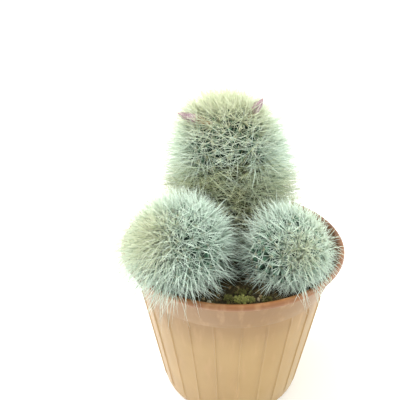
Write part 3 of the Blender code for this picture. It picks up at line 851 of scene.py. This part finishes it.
def spread(normals, lean, turn, flatness=1.0):
    """Directions that lean from each normal by an angle, towards a turn about it, in a fan that may be flat."""
    level = unit(np.cross(normals, (0.03, 0.02, 1.0)))
    rising = np.cross(normals, level)
    side = unit(level * np.cos(turn)[:, None] + rising * (np.sin(turn) * flatness)[:, None])
    return normals * np.cos(lean)[:, None] + side * np.sin(lean)[:, None]


def clear_of_things(stem, roots, toward, reach):
    """Turn each needle up from the soil, and shorten it at the rim and the other stems. Says which to keep."""
    others = [other for other in STEMS if other is not stem]
    for _ in range(CLEAR_TRIES):
        probes = roots[:, None] + toward[:, None] * reach[:, None, None] * PROBES[:, None]
        low = in_soil(probes).any(axis=1)
        stopped = in_rim(probes).any(axis=1)
        for other in others:
            stopped |= other.inside(probes, SPINE_CLEARANCE).any(axis=1)
        toward[low] = unit(toward[low] + UP * CLEAR_STEP)
        reach[stopped] *= CLEAR_CUT
        if not (low | stopped).any():
            break
    return ~(low | stopped) & (reach > LEAST_REACH)


def needles(name, tree, layout, material, sides=3, segments=2, fullness=1.7):
    """One piece with a needle at each root of a layout."""
    mesh = bpy.data.meshes.new(name)
    mesh.vertices.add(len(layout["root"]))
    mesh.vertices.foreach_set("co", layout["root"].astype(np.float32).ravel())
    for key in ("toward", "bend"):
        set_floats(mesh, key, layout[key], "FLOAT_VECTOR")
    for key in ("reach", "width", "tint", "season"):
        set_floats(mesh, key, layout[key])
    return grown(name, mesh, tree, sides=sides, segments=segments, fullness=fullness, material=material)


CROWN_CROWDING = 1.18
WAIST = 31.2
WAIST_SLOPE = 0.56
WAIST_TILT = 0.17

TALL_OUTLINE = smooth_outline([
    (0.0, 55.0 * MM), (9.5 * MM, 52.0 * MM), (14.4 * MM, 43.0 * MM), (15.7 * MM, 35.5 * MM),
    (15.4 * MM, 29.5 * MM), (17.8 * MM, 22.0 * MM), (17.6 * MM, 15.0 * MM), (15.6 * MM, 7.0 * MM),
    (11.5 * MM, -0.5 * MM), (0.0, -2.5 * MM)])

TALL = Stem("tall_stem", TALL_OUTLINE, (-2.0 * MM, 11.0 * MM, SOIL_LEVEL), (0, 0, 1), areoles=330)
LEFT = Stem("left_head", round_outline(15.6 * MM, 15.0 * MM), (-18.6 * MM, -21.3 * MM, SOIL_LEVEL + 12.5 * MM),
            (-0.95, -1.05, 1), areoles=190)
RIGHT = Stem("right_head", round_outline(13.6 * MM, 13.2 * MM), (20.5 * MM, -18.0 * MM, SOIL_LEVEL + 9.5 * MM),
             (0.42, -1.64, 1), areoles=145)
STEMS = [TALL, LEFT, RIGHT]

# Spines of each stem: length, how far the radial ones lean at least and at most, how flat their fan is,
# and the way in which they are shorter
SPINE_HABIT = {
    "tall_stem": (11.4 * MM, 0.7, 1.5, 0.4, (0.0, 0.0, 0.0)),
    "left_head": (10.4 * MM, 0.5, 1.4, 1.0, (0.15, 0.12, 0.2)),
    "right_head": (9.8 * MM, 0.5, 1.4, 1.0, (0.9, 0.45, 0.0)),
}
SPINES_PER_AREOLE = 46
PROUD_EVERY = 3
PROUD_GAIN = 1.35
CENTRAL_SPINES = 18
CENTRAL_LEAN = 0.8
SPINE_WIDTH = 0.077 * MM
PATCH_SIZE = 5.0 * MM
PATCH_THINNING = 0.6
MOST_SHORTER = 0.75
LONG_SPINE_SHARE = 0.07
SIDE_NARROWING = 0.3
FRONT_LEAN = 0.5
SIDE_GAIN = 0.25
TALL_SHARES = 0.0, 0.08, 0.2, 0.5
TALL_GAINS = 0.98, 1.1, 1.28, 1.36
TALL_SKEW = -0.22, -0.22, 0.0, 0.1
SPARSE_WAY = {"tall_stem": (0.0, 0.0, 0.0), "left_head": (0.35, 0.0, -1.6), "right_head": (-1.0, -0.1, -0.3)}
OLD_THINNING = 0.8
MOST_THINNING = 0.92
CREASE_WIDTH = 1.5
CREASE_SHORTER = 0.3
BACK_SHORTER = 0.25
BAND = 47.5
BAND_WIDTH = 7.5
OVERHANG_GAIN = 0.42
OVERHANG_DROOP = 0.22
CROWN_SHARE = 0.05
PALE_SHARE = {"tall_stem": 0.17, "left_head": 0.1, "right_head": 0.05}
# Painted light: needles on the side of each head that faces a lamp, and on the tall stem's left and right flanks,
# are made paler and creamier, with lighter tints.
LIT_WAY = {"tall_stem": (0.0, 0.0, 0.0), "left_head": (-0.85, 0.0, 0.5), "right_head": (0.85, 0.2, 0.5)}
LIT_SIDE = 0.8
LIT_FLANK = 0.4
LIT_TINT = 0.5
CREAM = {"tall_stem": 0.9, "left_head": 0.7, "right_head": 0.55}
HAIRS_PER_AREOLE = 12


def spine_layout(stem, rng):
    """Root, direction, length, width, bend and tints of every spine of a stem."""
    per = SPINES_PER_AREOLE
    count = len(stem.share) * per
    share = np.repeat(stem.share, per)
    normals = np.repeat(stem.normals, per, axis=0)
    roots = np.repeat(stem.points, per, axis=0)
    order = np.tile(np.arange(per), len(stem.share))
    central = order < CENTRAL_SPINES
    turn = order * GOLDEN_ANGLE * 1.7 + np.repeat(rng.uniform(0, TAU, len(stem.share)), per) \
        + rng.uniform(-0.25, 0.25, count)
    length, least, most, flatness, shorter = SPINE_HABIT[stem.name]
    lean = np.where(central, rng.uniform(0.03, CENTRAL_LEAN, count), rng.uniform(least, most, count))
    proud = order % PROUD_EVERY == 0
    if stem is TALL:
        lean = np.where(proud & ~central, rng.uniform(1.1, 1.5, count), lean)
    crown = np.exp(-share / CROWN_SHARE)
    lean *= 1 - 0.45 * crown
    sideways = np.abs(normals[:, 0]) if stem is TALL else np.zeros(count)
    lean *= 1 - SIDE_NARROWING * sideways
    front = np.clip(-normals[:, 1], 0, 1) if stem is TALL else np.zeros(count)
    lean += FRONT_LEAN * front * central
    toward = spread(normals, lean, turn, flatness + (1 - flatness) * crown)
    reach = length * rng.uniform(0.65, 0.95, count) * np.where(proud, PROUD_GAIN, 1.0)
    reach *= 1 - 0.2 * crown
    reach *= 1 + SIDE_GAIN * sideways * ~proud
    if stem is TALL:
        reach *= np.interp(share, TALL_SHARES, TALL_GAINS)
        reach *= 1 + np.interp(share, TALL_SHARES, TALL_SKEW) * toward[:, 0]
        reach *= 1 - BACK_SHORTER * np.clip(toward[:, 1], 0, 1)
    pressed = rng.uniform(0, 1, count) > LONG_SPINE_SHARE
    reach *= 1 - np.clip(toward @ np.array(shorter), 0, MOST_SHORTER) * pressed
    roots = roots + toward * 0.1 * MM - normals * 0.35 * MM
    clear = clear_of_things(stem, roots, toward, reach)
    patches = np.array([noise.noise(Vector(point) / PATCH_SIZE) for point in roots[::per]])
    cap = np.exp(-(share / PALE_SHARE[stem.name]) ** 2)
    age = stem_age(stem, roots)
    thin = PATCH_THINNING * (1 - cap) * np.clip(np.repeat(patches, per) * 2.5 + 0.5, 0, 1)
    thin += np.clip(normals @ np.array(SPARSE_WAY[stem.name]), 0, 1) + OLD_THINNING * age ** 4
    thin *= np.where(proud, 0.4, 1.0)
    if stem is TALL:
        above = (roots[:, 2] - SOIL_LEVEL) / MM
        crease = np.exp(-((above - waist_height(roots)) / CREASE_WIDTH) ** 2) * front
        reach = reach * (1 - CREASE_SHORTER * crease)
        thin = thin * (0.3 + 0.7 * front) + 0.75 * crease
        band = front ** 1.5 * np.exp(-((above - BAND) / BAND_WIDTH) ** 2)
        thin += band * np.where(central, 1.0, np.where(proud, 0.5, 0.9))
    clear &= rng.uniform(0, 1, count) > np.minimum(thin, MOST_THINNING)
    tips = roots + toward * reach[:, None]
    overhang = np.clip((np.hypot(tips[:, 0], tips[:, 1]) - RIM_RADIUS) / (4 * MM), 0, 1)
    reach = reach * (1 + OVERHANG_GAIN * overhang)
    side = np.cross(toward, unit(rng.normal(size=(count, 3))))
    bend = side * rng.uniform(0.0, 0.07, count)[:, None] - normals * 0.03
    bend = (bend - UP * (OVERHANG_DROOP * overhang)[:, None]) * reach[:, None]
    outward = normals @ np.array(LIT_WAY[stem.name])
    # Paleness is the young crown's cream together with painted light on the lit side and flanks; the season value
    # carries both, less the age.
    pale = np.maximum(cap, LIT_SIDE * np.clip(outward, 0, 1) ** 2 + LIT_FLANK * sideways)
    season = np.clip(CREAM[stem.name] * pale - age + rng.uniform(-0.15, 0.15, count), -1, 1)
    tint = np.where(proud, rng.uniform(0.5, 1.0, count), rng.uniform(0.0, 0.75, count))
    # Lighter tints on the side that faces a lamp: painted light.
    tint = np.clip(tint + LIT_TINT * outward, 0, 1)
    layout = {
        "root": roots, "toward": toward, "reach": reach, "bend": bend, "season": season,
        "width": SPINE_WIDTH * rng.uniform(0.8, 1.15, count) * np.where(proud, 1.2, 1.0),
        "tint": tint,
    }
    return {key: value[clear] for key, value in layout.items()}


def waist_height(points):
    """How high over the soil the tall stem's crease is, in mm: higher at the front."""
    forward = np.clip(TALL.center[1] - points[:, 1], 0, None)
    rightward = points[:, 0] - TALL.center[0]
    return WAIST + (WAIST_SLOPE * forward + WAIST_TILT * rightward) / MM


def stem_age(stem, points):
    """How old and corky the stem is at each point: the tall stem's lower half is the oldest."""
    above = (points[:, 2] - SOIL_LEVEL) / MM
    if stem is TALL:
        return 0.7 * np.clip((waist_height(points) + 1.0 - above) / 5.0, 0, 1) \
            + 0.3 * np.clip((26.0 - above) / 8.0, 0, 1)
    return np.clip((1.0 - above) / 8.0, 0, 1)


def wool_layout(stem, rng):
    """A little tuft of wool on each areole, thick on the crown."""
    per = HAIRS_PER_AREOLE
    count = len(stem.share) * per
    share = np.repeat(stem.share, per)
    normals = np.repeat(stem.normals, per, axis=0)
    crown = np.exp(-share / PALE_SHARE[stem.name])
    toward = spread(normals, rng.uniform(0.1, 1.2, count), rng.uniform(0, TAU, count))
    roots = np.repeat(stem.points, per, axis=0) - normals * 0.2 * MM + toward * 0.25 * MM
    reach = rng.uniform(0.6, 1.1, count) * MM * (1 + 5.0 * crown)
    bend = np.cross(toward, unit(rng.normal(size=(count, 3)))) * (0.5 * reach)[:, None]
    return {"root": roots, "toward": toward, "reach": reach, "bend": bend,
            "width": 0.13 * MM * rng.uniform(0.8, 1.2, count), "tint": rng.uniform(0, 1, count),
            "season": crown}


def build_stem(stem, needle_nodes, tubercle_nodes, materials, rng):
    areoles = bpy.data.meshes.new("areoles")
    areoles.from_pydata(stem.points.tolist(), [], [])
    marks = link("areoles", areoles)
    body = stem.body_mesh()
    points = np.zeros(len(body.vertices) * 3, np.float32)
    body.vertices.foreach_get("co", points)
    set_floats(body, "age", stem_age(stem, points.reshape(-1, 3)))
    flesh = grown(f"{stem.name}_flesh", body, tubercle_nodes, areoles=marks, radius=TUBERCLE_RADIUS,
                  height=TUBERCLE_HEIGHT, material=materials["flesh"])
    flesh.data.shade_smooth()
    bpy.data.objects.remove(marks)
    dress(flesh, "stem_and_spines", stem.name)
    spines = needles(f"{stem.name}_spines", needle_nodes, spine_layout(stem, rng), materials["spines"])
    dress(spines, "stem_and_spines")
    wool = needles(f"{stem.name}_wool", needle_nodes, wool_layout(stem, rng), materials["wool"], fullness=1.6)
    dress(wool, "stem_and_spines")


# Cushions of moss: place, half widths, height, shoots, and how fresh and yellow they are
MOSS = [
    ((3.6, -38.6), (1.5, 1.0), 2.0, 26, 1.0),
    ((6.4, -37.6), (1.6, 1.2), 1.3, 14, 0.5),
    ((-0.6, -37.4), (1.7, 1.2), 1.2, 14, 0.25),
    ((4.4, -34.0), (2.4, 1.6), 1.0, 14, 0.15),
    ((12.0, -36.6), (1.8, 1.2), 0.9, 10, 0.0),
    ((32.0, 20.0), (4.4, 3.4), 0.9, 44, 0.4),
    ((-27.0, 22.0), (5.0, 3.6), 0.9, 50, 0.25),
]
LEAVES_PER_SHOOT = 12


def moss_layout(place, half_widths, height, shoots, fresh, rng):
    """Leafy shoots that fan out of a small mound."""
    index = np.arange(shoots)
    away = np.sqrt((index + 0.5) / shoots)
    angle = index * GOLDEN_ANGLE + rng.uniform(0, TAU)
    flat = np.stack((away * np.cos(angle), away * np.sin(angle)), axis=1)
    flat *= rng.uniform(0.7, 1.4, (shoots, 1))
    spot = (np.array(place) + flat * half_widths) * MM
    ground = np.array([soil_height(x, y) for x, y in spot])
    crest = height * MM * (1 - 0.75 * away ** 2) * rng.uniform(0.7, 1.2, shoots)
    axis = unit(np.stack((flat[:, 0] * 0.8, flat[:, 1] * 0.8, np.ones(shoots)), axis=1))
    per = LEAVES_PER_SHOOT
    count = shoots * per
    order = np.tile(np.arange(per), shoots)
    level = order / per
    axis = np.repeat(axis, per, axis=0)
    roots = np.repeat(np.column_stack((spot, ground)), per, axis=0)
    roots += axis * (np.repeat(crest, per) * level)[:, None]
    toward = spread(axis, 1.15 - 0.85 * level, order * GOLDEN_ANGLE + np.repeat(angle, per))
    reach = rng.uniform(0.7, 1.2, count) * MM * (1.0 - 0.35 * level)
    return {"root": roots, "toward": toward, "reach": reach, "bend": axis * (0.25 * reach)[:, None],
            "width": 0.13 * MM * rng.uniform(0.8, 1.2, count), "tint": rng.uniform(0, 1, count),
            "season": np.full(count, fresh)}


def build_moss(needle_nodes, material, rng):
    patches = [moss_layout(*patch, rng) for patch in MOSS]
    layout = {key: np.concatenate([patch[key] for patch in patches]) for key in patches[0]}
    dress(needles("moss", needle_nodes, layout, material, fullness=2.2), "potting_soil")


FLOWERS = {
    "flower_left": (Vector((-9.5, 3.6, 113.2)) * MM, Vector((-20.8, 4.2, 116.6)) * MM),
    "flower_right": (Vector((5.5, 7.5, 113.5)) * MM, Vector((10.5, 5.5, 122.0)) * MM),
}
FLOWER_RADIUS = 1.7 * MM
PETALS = 11
PETAL_SEGMENTS = 18
PETAL_COLUMNS = 5
PETAL_THICKNESS = 0.16 * MM
SOCKET_DEPTH = 1.6 * MM


def petal_points(turn, width, start, end, twist, layer):
    """Rows of points over one folded petal: it hugs the closed flower and narrows to a point."""
    rows = []
    for i in range(PETAL_SEGMENTS + 1):
        t = start + (end - start) * i / PETAL_SEGMENTS
        swell = math.sin(math.pi * min(t * 0.86 + 0.14, 1.0))
        radius = FLOWER_RADIUS * (0.16 + 0.84 * swell) * layer
        own = i / PETAL_SEGMENTS
        half = width * math.sin(math.pi * min(own * 0.85 + 0.12, 1.0)) ** 0.6
        row = []
        for j in range(PETAL_COLUMNS):
            across = j / (PETAL_COLUMNS - 1) * 2 - 1
            angle = turn + twist * t + across * half
            lift = radius * (1 + 0.16 * across ** 2 * own)
            row.append((Vector((lift * math.cos(angle), lift * math.sin(angle), t)), t, (across + 1) / 2))
        rows.append(row)
    return rows


def build_flower(name, root, tip, material, rng):
    """A closed, wilted flower: narrow petals wrapped and twisted to a point around a core."""
    axis = tip - root
    length = axis.length
    turn = Vector((0, 0, 1)).rotation_difference(axis).to_matrix().to_4x4()
    place = Matrix.Translation(root) @ turn
    bm = bmesh.new()
    along = bm.verts.layers.float.new("along")
    across = bm.verts.layers.float.new("across")

    def add_sheet(rows, closed):
        made = []
        for row in rows:
            verts = []
            for point, t, u in row:
                vertex = bm.verts.new((point.x, point.y, point.z * length))
                vertex[along] = t
                vertex[across] = u
                verts.append(vertex)
            made.append(verts)
        for low, high in zip(made, made[1:]):
            pairs = list(zip(low, low[1:], high[1:], high))
            if closed:
                pairs.append((low[-1], low[0], high[0], high[-1]))
            for quad in pairs:
                bm.faces.new(quad)
        return made

    for k in range(PETALS):
        layer = 0.78 if k % 2 else 1.0
        rows = petal_points(
            k * TAU / PETALS + rng.uniform(-0.15, 0.15), rng.uniform(0.3, 0.5), 0.12 + 0.08 * (k % 3),
            rng.uniform(0.8, 1.0), rng.uniform(0.4, 1.1), layer * rng.uniform(0.9, 1.15))
        add_sheet(rows, False)
    sheet = bm.faces[:]
    bmesh.ops.solidify(bm, geom=sheet, thickness=PETAL_THICKNESS)

    core = []
    sides = 14
    for i in range(PETAL_SEGMENTS + 1):
        t = -SOCKET_DEPTH / length + (1.0 + SOCKET_DEPTH / length) * i / PETAL_SEGMENTS
        swell = math.sin(math.pi * min(max(t, 0.0) * 0.9 + 0.12, 1.0)) ** 0.8
        radius = FLOWER_RADIUS * (0.22 + 0.5 * swell) * (1 - max(t, 0.0) ** 6 * 0.9)
        row = []
        for j in range(sides):
            angle = j * TAU / sides + 0.8 * t
            ridge = radius * (1 + 0.08 * math.cos(5 * angle))
            row.append((Vector((ridge * math.cos(angle), ridge * math.sin(angle), t)), max(t, 0.0), j / sides))
        core.append(row)
    made = add_sheet(core, True)
    bm.faces.new(made[0][::-1])
    bm.faces.new(made[-1])
    bmesh.ops.recalc_face_normals(bm, faces=bm.faces)
    bmesh.ops.transform(bm, verts=bm.verts, matrix=place)
    mesh = bpy.data.meshes.new(f"{name}_petals")
    bm.to_mesh(mesh)
    bm.free()
    mesh.materials.append(material)
    mesh.shade_smooth()
    dress(link(f"{name}_petals", mesh), "petals", name)


def build_stage():
    bm = bmesh.new()
    bmesh.ops.create_grid(bm, x_segments=2, y_segments=2, size=6.0)
    mesh = bpy.data.meshes.new("floor")
    bm.to_mesh(mesh)
    bm.free()
    mesh.materials.append(finish("pale floor", paint_floor))
    link("floor", mesh)

    world = bpy.data.worlds.new("studio")
    world.use_nodes = True
    background = world.node_tree.nodes["Background"]
    background.inputs["Color"].default_value = (1.0, 1.0, 1.0, 1.0)
    background.inputs["Strength"].default_value = 0.92
    bpy.context.scene.world = world


def add_light(name, place, target, size, power, color):
    light = bpy.data.lights.new(name, "AREA")
    light.shape = "DISK"
    light.size = size
    light.energy = power
    light.color = color
    obj = link(name, light)
    obj.location = place
    obj.rotation_euler = (Vector(target) - Vector(place)).to_track_quat("-Z", "Y").to_euler()


def add_camera():
    """A camera that looks along the fitted direction, rolled a little."""
    cos_pitch = math.cos(CAMERA_PITCH)
    ahead = Vector((math.sin(CAMERA_YAW) * cos_pitch, math.cos(CAMERA_YAW) * cos_pitch, -math.sin(CAMERA_PITCH)))
    right = Vector((math.cos(CAMERA_YAW), -math.sin(CAMERA_YAW), 0.0))
    down = ahead.cross(right)
    cos_roll, sin_roll = math.cos(CAMERA_ROLL), math.sin(CAMERA_ROLL)
    right, down = cos_roll * right + sin_roll * down, cos_roll * down - sin_roll * right
    camera = bpy.data.cameras.new("camera")
    camera.sensor_width = SENSOR
    camera.lens = FOCAL_PIXELS * SENSOR / PICTURE_PIXELS
    camera.clip_start = 0.01
    obj = link("camera", camera)
    turn = Matrix((right, -down, -ahead)).transposed()
    obj.matrix_world = Matrix.Translation(CAMERA_PLACE) @ turn.to_4x4()
    bpy.context.scene.camera = obj


def main():
    rng = np.random.default_rng(7)
    needle_nodes = needle_tree()
    build_pot(rib_tree())
    build_soil(grit_tree())
    materials = {
        "flesh": finish("glaucous skin", paint_flesh, Specular_IOR_Level=0.35),
        "spines": finish("white spines", paint_spines, Specular_IOR_Level=0.5),
        "wool": finish("areole wool", paint_wool, Specular_IOR_Level=0.1),
    }
    tubercle_nodes = tubercle_tree()
    for stem in STEMS:
        build_stem(stem, needle_nodes, tubercle_nodes, materials, rng)
    build_moss(needle_nodes, finish("moss", paint_moss, Specular_IOR_Level=0.3), rng)
    petals = finish("wilted petals", paint_petals, Specular_IOR_Level=0.3)
    for name, (root, tip) in FLOWERS.items():
        build_flower(name, root, tip, petals, rng)
    build_stage()
    add_light("key", (-0.5, 0.1, 0.75), (0, 0, 0.07), 0.45, 8.2, (1.0, 0.99, 0.95))
    add_light("fill", (0.75, 0.05, 0.42), (0, 0, 0.05), 0.6, 5.0, (0.93, 1.0, 0.97))
    add_camera()
    bpy.context.scene.view_settings.view_transform = "Standard"


main()
